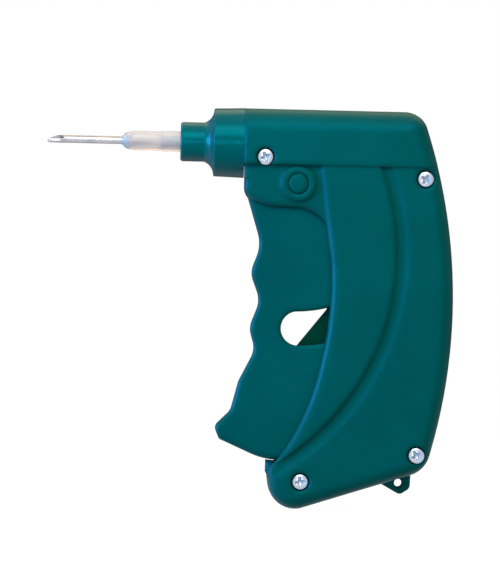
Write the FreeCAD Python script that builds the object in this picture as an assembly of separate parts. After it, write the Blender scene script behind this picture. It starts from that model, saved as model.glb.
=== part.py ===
import FreeCAD, Part
import math
import os

# Microchip implanter: a trigger operated hand tool for livestock. A short steel needle on a
# pull-off hub sits on the nose. The trigger turns a two-armed lever inside the handle, and the
# lever drives a push rod along the barrel, which sets the transponder free at the needle's mouth.
#
# Frame, in millimetres: the needle's axis is X and it points to -X, Z is up the handle, and Y
# runs across the tool. The origin lies on the needle's axis at the heel of its bevel.

V = FreeCAD.Vector

# Needle: 12 gauge thin wall tube, ground to a bevel and glued in a clear moulded hub.
CANNULA_OD = 2.77
CANNULA_WALL = 0.19
BEVEL_ANGLE = 24.0
BEVEL_TURN = 57.0
CANNULA_OUT = 27.8
CANNULA_HELD = 10.0
HUB_LENGTH = 20.4
HUB_FRONT_R = 2.75
HUB_R = 3.45
HUB_SHOULDER = 2.9
HUB_COLLAR_R = 3.65
HUB_COLLAR_LENGTH = 6.6
HUB_EDGE = 0.5
HUB_CHAMBER = 1.2
HUB_FUNNEL = 0.8
GLUE_WELL_R = 2.1
GLUE_WELL_DEPTH = 4.0
GLUE_CONE = 0.8
GLUE_CONE_EDGE = 0.15
GLUE_FIT = 0.02

# Male luer cone on the nose and the socket that the hub seats on it with.
LUER_CONE = 7.2
LUER_TIP_R = 1.98
LUER_TAPER = 0.03
LUER_GAP = 0.05
LUER_SHANK_R = 2.6
LUER_SHANK = 8.0
LUER_EDGE = 0.2
LUER_BORE_R = 1.45

# Nosepiece, turned about the needle's axis and clipped into the front wall of the shells.
NOSE_SMALL_R = 7.1
NOSE_SMALL_LENGTH = 8.6
NOSE_CONE_LENGTH = 3.4
NOSE_LARGE_FRONT_R = 12.3
NOSE_LARGE_R = 12.65
NOSE_LARGE_LENGTH = 11.1
NOSE_EDGE_R = 1.0
NOSE_NECK_R = 7.2
NOSE_FLANGE_R = 9.2
NOSE_FLANGE = 2.1
NOSE_FIT = 0.1
FLANGE_ROOM = 0.3
SPRING_BORE_R = 3.2
NOSE_RIM_R = 0.6

# Handle shells, parted on the middle plane. Heights are from the needle's axis.
TOP_HEIGHT = 12.4
STEP_DEPTH = 7.9
BARREL_HALF = 13.0
HANDLE_HALF = 12.4
EAR_HALF = 10.9
EAR_WALL = 2.2
WALL = 2.2
TOP_ROUND = 8.6
REAR_ROUND = 4.5
CHEEK_ROUND = 3.0
STEP_ROUND = 0.4
EAR_ROUND = 2.0
BOSS_ROUND = 1.0
NOSE_RIB = 1.6
NOSE_RIB_HALF = 7.0
NOSE_RIB_LOW = 6.0
INNER_BEVEL = 3.6
BARREL_CORNER = 3.0
BARREL_ROOM = 30.0
SILL_RISE = 3.0
MOUTH_LOW = -110.0
FRONT_APRON = 13.0
APRON_WALL = 2.2
LIP_HALF = 6.0
LIP_WALL = 4.0
LIP_GAP = 0.4
LIP_FORWARD = 0.3
LIP_ROOT = 3.0
LIP_CORNER = 2.5
LIP_HEIGHT = 15.0

# Handle outline behind the front face: distance back, height and corner radius.
TOP_CORNER = (63.8, TOP_HEIGHT, TOP_ROUND)
BACK_BULGE = (84.9, -52.1, 200.0)
HEEL_CORNER = (67.74, -116.86, 10.0)
FOOT_CORNER = (12.83, -134.65, 9.7)
FOOT_LIP = (10.5, -118.3, 0)
CHEEK_LOW = (24.05, -101.74, 86.0)
CHEEK_HIGH = (33.88, -55.4, 115.0)
CHEEK_TOP = (25.6, 0, 0)

# Lower-set ear on each side that carries the trigger.
EAR_FRONT = 0.3
EAR_NOSE = (EAR_FRONT, -19.5, 5.5)
EAR_LOW = (9.0, -23.0, 12.0)
EAR_MID = (29.6, -23.8, 13.0)
EAR_TAIL = (33.2, -38.5, 0)
EAR_BACK = 37.0

# Shallow groove down the side of the handle, struck about one centre. Its front wall is short
# and its rear wall is a long concave slope.
GROOVE_CENTRE = (-32.8, -40.4)
GROOVE_FRONT_R = 88.0
GROOVE_WIDTH = 5.0
GROOVE_DEPTH = 1.0
GROOVE_COVE = 0.9
GROOVE_FLOOR = 1.3

# Trigger pivot and the trigger's stroke about it.
TRIGGER_PIVOT = (19.7, -14.6)
TRIGGER_SWING = 18.5
TRUNNION_R = 3.7
TRUNNION_FIT = 0.05
TRUNNION_END = 12.0
TRUNNION_EDGE = 0.45
TRUNNION_SINK = 0.3
PIVOT_BOSS_R = 6.5
PIVOT_BOSS_END = 12.0

# Trigger: a channel section with finger grooves, open to the back and to the top.
TRIGGER_HALF = 8.3
TRIGGER_SIDE = 2.0
TRIGGER_FRONT = 2.6
TRIGGER_ROUND = 1.4
CHANNEL_TOP = 5.0
SOLE_LIP = 6.0
WINDOW_ROUND = 0.5
TRIGGER_HUB_R = 8.2
BROW_EDGE = 0.5
TRIGGER_SWEEP_R = 99.8
FINGER_FACE = [
    (0.9, -16.8, 3.0), (7.0, -36.6, 13.0), (3.2, -46.7, 8.0), (7.0, -56.7, 9.0), (3.2, -66.8, 8.0),
    (5.6, -74.6, 8.0), (-0.2, -86.2, 6.0), (-2.9, -96.8, 5.0),
]
TOE = [(-8.7, -102.6, 2.6), (-6.9, -107.0, 1.6)]
TRIGGER_SOLE = [(9.5, -114.2, 25.0), (24.0, -114.0, 2.0)]
TRIGGER_BACK = [(36.8, -66.0, 90.0), (34.0, -26.0, 3.0)]
STOP_GAP = 0.3

# Arc-shaped window through both sides of the trigger, which clears the fixed lever boss.
SLOT_R = 52.05
SLOT_HALF = 6.15
SLOT_START = 1.1
SLOT_OPEN = 40.0
SLOT_SPARE = 0.7

# Two-armed lever. Its lower nose bears on the trigger's cam and its upper pin drives the rod.
LEVER_HALF = 4.0
LEVER_HUB_R = 7.6
LEVER_HUB_HALF = 4.7
LEVER_NOSE_R = 3.6
LEVER_NOSE_REACH = 32.5
LEVER_NOSE_ANGLE = 224.6
LEVER_TOP_R = 4.2
LEVER_TOP_HALF = 2.6
LEVER_PIN_RISE = 1.9
LEVER_SWING = 32.5
LEVER_WEB_HALF = 1.5
LEVER_RIM = 2.0
LEVER_BOSS_R = 5.6
LEVER_BOSS_FACE = 5.0
LEVER_PIN_R = 2.5
LEVER_PIN_HALF = 8.6
LEVER_BUSH_R = 3.9
PIVOT_FIT = 0.05
NOSE_PIN_R = 2.2
NOSE_PIN_HALF = 6.0
CAM_GAP = 0.2
CAM_SIDE_GAP = 0.4

# Drive pin, carriage and push rod. The pin rests a set distance behind the shells' front face.
PIN_REST = 59.0
DRIVE_PIN_R = 2.0
DRIVE_PIN_HALF = 5.8
PIN_SLOT_PLAY = 0.4
CARRIAGE_HALF = 6.0
CARRIAGE_CHEEK = 2.8
CARRIAGE_FRONT = 9.6
CARRIAGE_FRONT_WALL = 3.0
CARRIAGE_REAR = 4.6
CARRIAGE_TOP = 5.4
CARRIAGE_BOTTOM = 5.6
CARRIAGE_CORNERS = (1.2, 3.5)
WING_HALF = 8.6
WING_HEIGHT = 2.0
WING_END = 0.8
RAIL_PLAY = 0.3
RAIL_WALL = 1.6
RAIL_INNER = 6.5
ROD_R = 1.0
ROD_RUN_FIT = 0.03
ROD_EDGE = 0.15
SET_SCREW_R = 1.25
SET_SCREW_SUNK = 0.4
SET_SCREW_KEY = 1.2
SEAT_FIT = 0.02
PIN_END_GAP = 0.15

# Return spring round the rod, its guide bush and its washer.
SPRING_WIRE_HALF = 0.15
SPRING_MEAN_R = 2.05
SPRING_COILS = 13
SPRING_INSIDE_GAP = 0.1
SPRING_END_GAP = 0.05
BUSH_LENGTH = 3.4
SPIGOT_LENGTH = 1.0
WASHER_LENGTH = 0.6
WASHER_RIM = 1.3

# Shell fasteners and dowels.
SCREW_PLACES = [(7.6, -5.2), (65.4, -12.0), (22.7, -121.8), (64.2, -111.4)]
SCREW_HEAD_R = 2.95
SCREW_HEAD = 1.4
SCREW_CROWN = 0.56
SCREW_RECESS_R = 3.3
SCREW_RECESS = 1.6
SCREW_SHANK_R = 1.45
SCREW_HOLE_FIT = 0.15
SCREW_LENGTH = 18.0
SCREW_BOSS_R = 3.1
FRONT_BOSS_R = 2.6
DOWEL_UNDER_TOP = 3.9
DOWEL_PLACES = [(45.0, TOP_HEIGHT - DOWEL_UNDER_TOP), (72.6, -62.0)]
DOWEL_R = 1.25
DOWEL_HALF = 4.0
DOWEL_BOSS_R = 2.2
DOWEL_FLOOR = 1.6

# Lanyard lug under the heel and the rubber bumper behind the carriage.
LUG_PLACE = (58.3, -121.55)
LUG_OUTLINE = [(47.5, -119.6, 0), (63.0, -115.5, 0), (62.6, -123.6, 2.2), (59.0, -125.9, 2.0)]
LUG_HOLE_R = 1.4
LUG_HALF = 2.5
LUG_ROUND = 0.9
BUMPER_HALF = 4.0
BUMPER_HEIGHT = 3.2
BUMPER_GAP = 0.3
BUMPER_REACH = 12.0

# Stack of lengths along the needle's axis.
BEVEL_LENGTH = CANNULA_OD / math.tan(math.radians(BEVEL_ANGLE))
X_TIP = -BEVEL_LENGTH
X_HUB = X_TIP + CANNULA_OUT
X_SEAT = X_HUB + HUB_LENGTH
X_NECK = X_SEAT + NOSE_SMALL_LENGTH
X_SHOULDER = X_NECK + NOSE_CONE_LENGTH
X_BODY = X_SHOULDER + NOSE_LARGE_LENGTH
X_SPRING = X_SEAT + LUER_SHANK + BUSH_LENGTH

# The lever's boss stands where the trigger's window ends up at full squeeze.
BOSS_ANGLE = math.radians(SLOT_START + TRIGGER_SWING + SLOT_SPARE)
LEVER_U = TRIGGER_PIVOT[0] + SLOT_R * math.sin(BOSS_ANGLE)
LEVER_Z = TRIGGER_PIVOT[1] - SLOT_R * math.cos(BOSS_ANGLE)
LEVER_RISE = LEVER_PIN_RISE - LEVER_Z
NOSE_U = LEVER_U + LEVER_NOSE_REACH * math.cos(math.radians(LEVER_NOSE_ANGLE))
NOSE_Z = LEVER_Z + LEVER_NOSE_REACH * math.sin(math.radians(LEVER_NOSE_ANGLE))
PIN_U = PIN_REST
REST_LEAN = math.asin((PIN_U - LEVER_U) / LEVER_RISE)
PIN_Z = LEVER_Z + LEVER_RISE * math.cos(REST_LEAN)
ROD_TRAVEL = LEVER_RISE * (math.sin(REST_LEAN) + math.sin(math.radians(LEVER_SWING) - REST_LEAN))

# The rails in the shells reach as far as the carriage's wings travel.
WING_FRONT = PIN_U - CARRIAGE_FRONT + WING_END
WING_REAR = PIN_U + CARRIAGE_REAR - WING_END
RAIL_START = WING_FRONT - ROD_TRAVEL
RAIL_END = WING_REAR - RAIL_PLAY

os.makedirs("parts", exist_ok=True)
document = FreeCAD.newDocument("implanter")


def at(back, height, across=0):
    # A point given by its distance behind the shells' front face.
    return V(X_BODY + back, across, height)


def save(name, solids):
    # One file for each named piece.
    shape = solids[0] if len(solids) == 1 else Part.makeCompound(solids)
    shape.exportStep("parts/" + name + ".step")


def rounded(points):
    # A closed outline of straight runs, each corner rounded by an arc tangent to both runs.
    cuts = []
    for i, (back, height, radius) in enumerate(points):
        corner = at(back, height)
        if not radius:
            cuts.append((corner, None, corner))
            continue
        before = (at(*points[i - 1][:2]) - corner).normalize()
        after = (at(*points[(i + 1) % len(points)][:2]) - corner).normalize()
        half = before.getAngle(after) / 2
        middle = (before + after).normalize()
        run = radius / math.tan(half)
        centre = corner + middle * (radius / math.sin(half))
        cuts.append((corner + before * run, centre - middle * radius, corner + after * run))
    edges = []
    for i, (start, middle, end) in enumerate(cuts):
        if middle is not None:
            edges.append(Part.Arc(start, middle, end).toShape())
        following = cuts[(i + 1) % len(cuts)][0]
        if (following - end).Length > 1e-6:
            edges.append(Part.LineSegment(end, following).toShape())
    return Part.Wire(edges)


def plate(wire, near, far):
    # A flat outline made into a slab between two distances across the tool.
    face = Part.Face(wire)
    face.translate(V(0, near, 0))
    return face.extrude(V(0, far - near, 0))


def bar(back, height, radius, near, far):
    # A round bar across the tool.
    return Part.makeCylinder(radius, far - near, at(back, height, near), V(0, 1, 0))


def box(back_1, back_2, near, far, low, high):
    return Part.makeBox(back_2 - back_1, far - near, high - low, at(back_1, low, near))


def turned(profile):
    # A body turned about the needle's axis from points of distance along it and radius.
    points = [V(x, 0, r) for x, r in profile]
    face = Part.Face(Part.makePolygon(points + points[:1]))
    return face.revolve(V(0, 0, 0), V(1, 0, 0), 360)


def end_rim(round_bar):
    # The rim of a round bar at its end farthest across.
    end = round_bar.BoundBox.YMax
    return [edge for edge in round_bar.Edges if edge.BoundBox.YMin > end - 1e-6]


def rod(x_1, x_2, radius):
    return Part.makeCylinder(radius, x_2 - x_1, V(x_1, 0, 0), V(1, 0, 0))


def middle_of(edge):
    return edge.valueAt((edge.FirstParameter + edge.LastParameter) / 2)


def rim_edges(solid, across, wanted):
    # The edges of the flat side face at one distance across that a test on their middle picks.
    found = []
    for i, edge in enumerate(solid.Edges):
        flat = all(abs(v.Point.y - across) < 1e-6 for v in edge.Vertexes)
        if flat and wanted(middle_of(edge)):
            found.append((i + 1, edge))
    return found


def round_rim(solid, across, wanted, radius_at):
    # Rounds the picked rim, with a radius that may change along it.
    base = document.addObject("Part::Feature", "base")
    base.Shape = solid
    rounding = document.addObject("Part::Fillet", "rounding")
    rounding.Base = base
    rounding.Edges = [
        (i, *[radius_at(edge.valueAt(end)) for end in (edge.FirstParameter, edge.LastParameter)])
        for i, edge in rim_edges(solid, across, wanted)
    ]
    document.recompute()
    return rounding.Shape


def lean(angle):
    # Direction in the side view, from an angle in degrees counted from straight back upwards.
    return V(math.cos(math.radians(angle)), 0, math.sin(math.radians(angle)))


def swung(point, centre, degrees):
    # A point carried round a pivot in the side view, the lower end of the handle going back.
    arm = point - centre
    turn = math.radians(degrees)
    along = arm.x * math.cos(turn) - arm.z * math.sin(turn)
    up = arm.x * math.sin(turn) + arm.z * math.cos(turn)
    return centre + V(along, arm.y, up)


# Needle

def needle_cannula():
    end = X_HUB + CANNULA_HELD
    tube = rod(X_TIP - 1, end, CANNULA_OD / 2).cut(rod(X_TIP - 1, end, CANNULA_OD / 2 - CANNULA_WALL))
    size = 4 * CANNULA_OD
    cutter = Part.makeBox(2 * size, 2 * size, size, V(X_TIP - size, -size, 0))
    cutter.rotate(V(X_TIP, 0, 0), V(0, 1, 0), -BEVEL_ANGLE)
    cutter.translate(V(0, 0, -CANNULA_OD / 2))
    cutter.rotate(V(0, 0, 0), V(1, 0, 0), BEVEL_TURN)
    return tube.cut(cutter)


def hub_socket_r(x):
    # The socket's radius, the cone's with the seating gap added.
    return LUER_TIP_R + (x - (X_SEAT - LUER_CONE)) * LUER_TAPER + LUER_GAP


def needle_hub():
    # A clear moulding: glue well in front, tube bore, then the tapered socket for the cone.
    collar = X_SEAT - HUB_COLLAR_LENGTH
    chamber = X_SEAT - LUER_CONE - HUB_CHAMBER
    bore = CANNULA_OD / 2 + GLUE_FIT
    well = X_HUB + GLUE_WELL_DEPTH
    outside = [
        (X_HUB, HUB_FRONT_R - HUB_EDGE), (X_HUB + HUB_EDGE, HUB_FRONT_R), (X_HUB + HUB_SHOULDER, HUB_R),
        (collar - (HUB_COLLAR_R - HUB_R), HUB_R), (collar, HUB_COLLAR_R), (X_SEAT, HUB_COLLAR_R),
    ]
    inside = [
        (X_SEAT, hub_socket_r(X_SEAT)), (chamber, hub_socket_r(chamber)), (chamber - HUB_FUNNEL, bore),
        (well, bore), (well, GLUE_WELL_R), (X_HUB, GLUE_WELL_R),
    ]
    return turned(outside + inside)


def needle_adhesive():
    # The glue that fills the well and rises up the tube in a small cone.
    inner = CANNULA_OD / 2 + GLUE_FIT
    outer = GLUE_WELL_R - GLUE_FIT
    well = X_HUB + GLUE_WELL_DEPTH - GLUE_FIT
    top = X_HUB - GLUE_CONE
    cone = [(X_HUB, outer), (top, inner + GLUE_CONE_EDGE), (top, inner)]
    return turned([(well, inner), (well, outer)] + cone)


# Nose

def luer_tip():
    front = X_SEAT - LUER_CONE
    base_r = LUER_TIP_R + LUER_CONE * LUER_TAPER
    end = X_SEAT + LUER_SHANK
    profile = [
        (front, LUER_BORE_R), (front, LUER_TIP_R - LUER_EDGE), (front + LUER_EDGE, LUER_TIP_R),
        (X_SEAT, base_r), (X_SEAT, LUER_SHANK_R), (end, LUER_SHANK_R), (end, LUER_BORE_R),
    ]
    return turned(profile)


def nosepiece():
    # Small barrel, a cove that flares to the large one, then the neck and flange in the shells.
    flange = X_BODY + WALL + NOSE_FIT
    seat_r = LUER_SHANK_R + SEAT_FIT
    bulge = 1 - math.sqrt(0.5)
    rise = NOSE_LARGE_FRONT_R - NOSE_SMALL_R
    profile = [
        (X_SEAT, seat_r), (X_SEAT, NOSE_SMALL_R - NOSE_EDGE_R), (X_SEAT + NOSE_EDGE_R, NOSE_SMALL_R),
        (X_NECK, NOSE_SMALL_R), (X_SHOULDER, NOSE_LARGE_FRONT_R - NOSE_RIM_R),
        (X_SHOULDER + NOSE_RIM_R, NOSE_LARGE_FRONT_R), (X_BODY, NOSE_LARGE_R), (X_BODY, NOSE_NECK_R),
        (flange, NOSE_NECK_R), (flange, NOSE_FLANGE_R), (flange + NOSE_FLANGE, NOSE_FLANGE_R),
        (flange + NOSE_FLANGE, SPRING_BORE_R), (X_SEAT + LUER_SHANK, SPRING_BORE_R),
        (X_SEAT + LUER_SHANK, seat_r),
    ]
    arcs = {
        1: (X_SEAT + NOSE_EDGE_R * bulge, NOSE_SMALL_R - NOSE_EDGE_R * bulge),
        3: (X_NECK + NOSE_CONE_LENGTH * 0.66, NOSE_SMALL_R + rise * 0.31),
        4: (X_SHOULDER + NOSE_RIM_R * bulge, NOSE_LARGE_FRONT_R - NOSE_RIM_R * bulge),
    }
    points = [V(x, 0, r) for x, r in profile]
    edges = []
    for i, point in enumerate(points):
        following = points[(i + 1) % len(points)]
        if i in arcs:
            x, r = arcs[i]
            edges.append(Part.Arc(point, V(x, 0, r), following).toShape())
        else:
            edges.append(Part.LineSegment(point, following).toShape())
    return Part.Face(Part.Wire(edges)).revolve(V(0, 0, 0), V(1, 0, 0), 360)


def rod_guide_bush():
    front = X_SEAT + LUER_SHANK
    outer = SPRING_BORE_R - SEAT_FIT
    bore = ROD_R + ROD_RUN_FIT
    spigot = SPRING_MEAN_R - SPRING_WIRE_HALF - SPRING_INSIDE_GAP
    step = front + BUSH_LENGTH
    end = step + SPIGOT_LENGTH
    profile = [
        (front, bore), (front, outer), (step, outer),
        (step, spigot), (end, spigot), (end, bore),
    ]
    return turned(profile)


# Shells

def handle_outline(inset):
    # The handle's side outline, moved in by the wall for the hollow inside it.
    wire = rounded([
        (0, TOP_HEIGHT, 0), TOP_CORNER, BACK_BULGE, HEEL_CORNER, FOOT_CORNER, FOOT_LIP,
        CHEEK_LOW, CHEEK_HIGH, CHEEK_TOP, (0, 0, 0),
    ])
    return wire.makeOffset2D(-inset) if inset else wire


def back_edges(point):
    # Top, back, heel and foot of the outline, without the cheek edge and the front.
    back = point.x - X_BODY
    if back < 1:
        return False
    top_or_back = point.z > CHEEK_TOP[1] + 5 or back > CHEEK_HIGH[0] + CHEEK_HIGH[0] / 2
    under_the_foot = point.z < FOOT_LIP[1] - 0.4 and back > FOOT_LIP[0]
    return top_or_back or under_the_foot


def cheek_edges(point):
    back = point.x - X_BODY
    return not back_edges(point) and FOOT_LIP[0] - 1 < back < CHEEK_HIGH[0] + 2 and point.z < -1


def rim_radius(point):
    return TOP_ROUND if point.z > TOP_HEIGHT - 0.1 else REAR_ROUND


def handle_block():
    block = plate(handle_outline(0), 0, HANDLE_HALF)
    block = round_rim(block, HANDLE_HALF, back_edges, rim_radius)
    return round_rim(block, HANDLE_HALF, cheek_edges, lambda point: CHEEK_ROUND)


def barrel_block():
    # The barrel's flank stands a little proud of the handle above the step line.
    outline = rounded([
        (0, TOP_HEIGHT, 0), TOP_CORNER, BACK_BULGE, HEEL_CORNER, (0, HEEL_CORNER[1], 0),
    ])
    block = plate(outline, 0, BARREL_HALF)
    block = round_rim(block, BARREL_HALF, back_edges, rim_radius)
    below = box(-1, 2 * BACK_BULGE[0], -1, 2 * BARREL_HALF, 3 * FOOT_CORNER[1], -STEP_DEPTH)
    block = block.cut(below)
    step = rim_edges(block, BARREL_HALF, lambda point: point.z < 0.01 - STEP_DEPTH)
    return block.makeFillet(STEP_ROUND, [edge for i, edge in step])


def handle_hollow():
    # The space inside the walls, closed at the front where the ear carries the trigger.
    half = HANDLE_HALF - WALL
    hollow = plate(handle_outline(WALL), -1, half)
    hollow = hollow.makeChamfer(INNER_BEVEL, [edge for i, edge in rim_edges(hollow, half, back_edges)])
    sill = FOOT_LIP[1] + SILL_RISE
    top = EAR_TAIL[1] - 1
    mouth = rounded([
        (-EAR_BACK, sill, 0), (FOOT_LIP[0] + WALL, sill, 0), (EAR_BACK, MOUTH_LOW, 0),
        (EAR_BACK, top, 0), (-EAR_BACK, top, 0),
    ])
    roof = TOP_HEIGHT - WALL - BARREL_CORNER
    barrel = box(WALL, BARREL_ROOM, -1, BARREL_HALF - WALL, -STEP_DEPTH + WALL, roof)
    return [hollow, plate(mouth, -1, half), barrel]


def ear_plate():
    top = 1 - STEP_DEPTH
    outline = rounded([
        (EAR_FRONT, top, 0), (EAR_BACK, top, 0), (EAR_BACK, EAR_TAIL[1], 0),
        EAR_TAIL, EAR_MID, EAR_LOW, EAR_NOSE,
    ])
    ear = plate(outline, EAR_HALF - EAR_WALL, EAR_HALF)
    rim = rim_edges(ear, EAR_HALF, lambda point: point.x - X_BODY < EAR_BACK - 1 and point.z < top - 1)
    rim = [edge for i, edge in rim if middle_of(edge).z > EAR_TAIL[1] + 1]
    return ear.makeFillet(EAR_ROUND, rim)


def groove_cut():
    # A short concave front wall, a narrow flat floor and a long concave slope, turned about the centre.
    front = GROOVE_CENTRE[0] + GROOVE_FRONT_R
    rear = front + GROOVE_WIDTH
    corner = front + GROOVE_COVE
    height = GROOVE_CENTRE[1]
    floor = HANDLE_HALF - GROOVE_DEPTH
    slope = corner + GROOVE_FLOOR
    slope_r = ((rear - slope) ** 2 + GROOVE_DEPTH ** 2) / (2 * GROOVE_DEPTH)
    half_turn = math.asin((rear - slope) / slope_r) / 2
    rise = at(slope + slope_r * math.sin(half_turn), height, floor + slope_r * (1 - math.cos(half_turn)))
    bulge = 1 - math.sqrt(0.5)
    cove = at(front + GROOVE_COVE * bulge, height, floor + GROOVE_DEPTH * bulge)
    points = [at(rear, height, HANDLE_HALF), at(rear, height, HANDLE_HALF + 1)]
    points += [at(front, height, HANDLE_HALF + 1), at(front, height, HANDLE_HALF)]
    lines = Part.makePolygon(points).Edges
    floor_line = [at(corner, height, floor), at(slope, height, floor)]
    lines.append(Part.Arc(points[-1], cove, floor_line[0]).toShape())
    lines.append(Part.LineSegment(*floor_line).toShape())
    lines.append(Part.Arc(floor_line[1], rise, points[0]).toShape())
    return Part.Face(Part.Wire(lines)).revolve(at(*GROOVE_CENTRE), V(0, 1, 0), 360)


def lug():
    # A small ear under the heel for a wrist cord, rounded on its free rim.
    ear = plate(rounded(LUG_OUTLINE), 0, LUG_HALF)
    rim = rim_edges(ear, LUG_HALF, lambda point: point.z < LUG_OUTLINE[0][1] - 1)
    return ear.makeFillet(LUG_ROUND, [edge for i, edge in rim])


def foot_lip():
    # The front wall of the foot rises to just under the trigger's sweep.
    front = FOOT_LIP[0] - LIP_FORWARD
    low = FOOT_LIP[1] - LIP_ROOT
    lip = box(front, front + LIP_WALL, 0, LIP_HALF, low, low + LIP_HEIGHT)
    corner = at(front, low, LIP_HALF / 2)
    low_edge = [edge for edge in lip.Edges if (middle_of(edge) - corner).Length < 0.01]
    lip = lip.makeChamfer(LIP_CORNER, low_edge)
    return lip.cut(bar(*TRIGGER_PIVOT, TRIGGER_SWEEP_R + LIP_GAP, -1, LIP_HALF + 1))


def shell():
    # The right-hand shell, which lies on the +Y side of the middle plane.
    block = handle_block()
    block = block.cut(groove_cut())
    block = block.fuse(barrel_block())
    for hollow in handle_hollow():
        block = block.cut(hollow)
    ear = ear_plate()
    block = block.fuse(ear)
    gap = box(-5, EAR_BACK + 2, -1, EAR_HALF - EAR_WALL, EAR_TAIL[1] - 2, -STEP_DEPTH + WALL + 0.5)
    block = block.cut(gap)
    apron = box(EAR_FRONT, EAR_FRONT + APRON_WALL, 0, EAR_HALF, -FRONT_APRON, -STEP_DEPTH + WALL + 1)
    flange_room = rod(X_BODY + WALL, X_BODY + WALL + 2 * NOSE_FLANGE, NOSE_FLANGE_R + FLANGE_ROOM)
    block = block.fuse(apron.cut(flange_room))
    ear_inside = EAR_HALF - EAR_WALL
    boss = bar(*TRIGGER_PIVOT, PIVOT_BOSS_R, ear_inside, PIVOT_BOSS_END)
    block = block.fuse(boss.makeFillet(BOSS_ROUND, end_rim(boss)))
    hole_r = TRUNNION_R + TRUNNION_FIT
    hole = bar(*TRIGGER_PIVOT, hole_r, ear_inside - 1, PIVOT_BOSS_END + 1)
    sink = at(*TRIGGER_PIVOT, PIVOT_BOSS_END - TRUNNION_SINK)
    mouth = Part.makeCone(hole_r, hole_r + TRUNNION_SINK, TRUNNION_SINK, sink, V(0, 1, 0))
    block = block.cut(hole).cut(mouth)
    block = block.cut(rod(X_BODY - 1, X_BODY + WALL + 1, NOSE_NECK_R + NOSE_FIT))
    wall_face = HANDLE_HALF - WALL
    additions = [bar(LEVER_U, LEVER_Z, LEVER_BOSS_R, LEVER_BOSS_FACE, wall_face + 0.5)]
    for i, (back, height) in enumerate(SCREW_PLACES):
        additions.append(bar(back, height, SCREW_BOSS_R if i else FRONT_BOSS_R, 0, wall_face + 0.5))
    for back, height in DOWEL_PLACES:
        additions.append(bar(back, height, DOWEL_BOSS_R, 0, DOWEL_HALF + DOWEL_FLOOR))
    for side in (-1, 1):
        inner = side * (WING_HEIGHT + RAIL_PLAY)
        outer = side * (WING_HEIGHT + RAIL_PLAY + RAIL_WALL)
        additions.append(
            box(RAIL_START, RAIL_END, RAIL_INNER, wall_face + 0.5, min(inner, outer), max(inner, outer))
        )
    rib_start = WALL + NOSE_FIT + NOSE_FLANGE + NOSE_FIT
    rib_top = TOP_HEIGHT - WALL + 0.5
    additions.append(box(rib_start, rib_start + NOSE_RIB, 0, NOSE_RIB_HALF, NOSE_RIB_LOW, rib_top))
    additions += [lug(), foot_lip()]
    block = block.fuse(additions)
    block = block.cut(bar(*LUG_PLACE, LUG_HOLE_R, -1, LUG_HALF + 1))
    pin_hole = LEVER_PIN_HALF + PIN_END_GAP
    block = block.cut(bar(LEVER_U, LEVER_Z, LEVER_PIN_R + SEAT_FIT, LEVER_BOSS_FACE - 1, pin_hole))
    for back, height in DOWEL_PLACES:
        block = block.cut(bar(back, height, DOWEL_R + SEAT_FIT, -1, DOWEL_HALF + PIN_END_GAP))
    return block.removeSplitter()


def flank(index):
    # Distance of the outer side face at a screw: the first screw lies in the barrel's flank.
    return HANDLE_HALF if index else BARREL_HALF


def left_shell(half):
    block = half.mirror(V(0, 0, 0), V(0, 1, 0))
    for i, (back, height) in enumerate(SCREW_PLACES):
        block = block.cut(bar(back, height, SCREW_SHANK_R + SCREW_HOLE_FIT, -2 * BARREL_HALF, 1))
        seat = -flank(i) + SCREW_RECESS
        block = block.cut(bar(back, height, SCREW_RECESS_R, -2 * BARREL_HALF, seat))
    return block


def right_shell(half):
    block = half
    for i, (back, height) in enumerate(SCREW_PLACES):
        depth = SCREW_LENGTH - (flank(i) - SCREW_RECESS) + 2 * PIN_END_GAP
        block = block.cut(bar(back, height, SCREW_SHANK_R + SEAT_FIT, -1, depth))
    return block


def shell_screws():
    screws = []
    for i, (back, height) in enumerate(SCREW_PLACES):
        seat = -flank(i) + SCREW_RECESS
        head = bar(back, height, SCREW_HEAD_R, seat - SCREW_HEAD, seat)
        face = [e for e in head.Edges if abs(e.BoundBox.YMax - (seat - SCREW_HEAD)) < 1e-6]
        head = head.makeChamfer(SCREW_CROWN, face)
        shank = bar(back, height, SCREW_SHANK_R, seat, seat + SCREW_LENGTH)
        screws.append(head.fuse(shank).removeSplitter())
    return screws


def shell_dowels():
    return [bar(back, height, DOWEL_R, -DOWEL_HALF, DOWEL_HALF) for back, height in DOWEL_PLACES]


def rear_bumper():
    # A rubber pad that fits the inside of the back wall behind the carriage.
    start = PIN_U + CARRIAGE_REAR + BUMPER_GAP
    pad = box(start, start + BUMPER_REACH, -BUMPER_HALF, BUMPER_HALF, -BUMPER_HEIGHT, BUMPER_HEIGHT)
    inside = plate(handle_outline(WALL + SEAT_FIT), -HANDLE_HALF, HANDLE_HALF)
    return pad.common(inside)


# Trigger

def trigger_outline():
    # Shoulder, finger grooves, toe, sole and back, then up round the pivot.
    back, height = TRIGGER_PIVOT
    shoulder = -FRONT_APRON - STOP_GAP
    hub = TRIGGER_HUB_R
    crown = [(back + hub, height - hub / 2, hub / 2), (back + hub, height + hub, hub * 0.99)]
    brow = [
        (back - hub, height + hub, hub * 0.8), (back - hub, shoulder, 0),
        (FINGER_FACE[0][0] + BROW_EDGE, shoulder, BROW_EDGE),
    ]
    return rounded(FINGER_FACE + TOE + TRIGGER_SOLE + TRIGGER_BACK + crown + brow)


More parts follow.
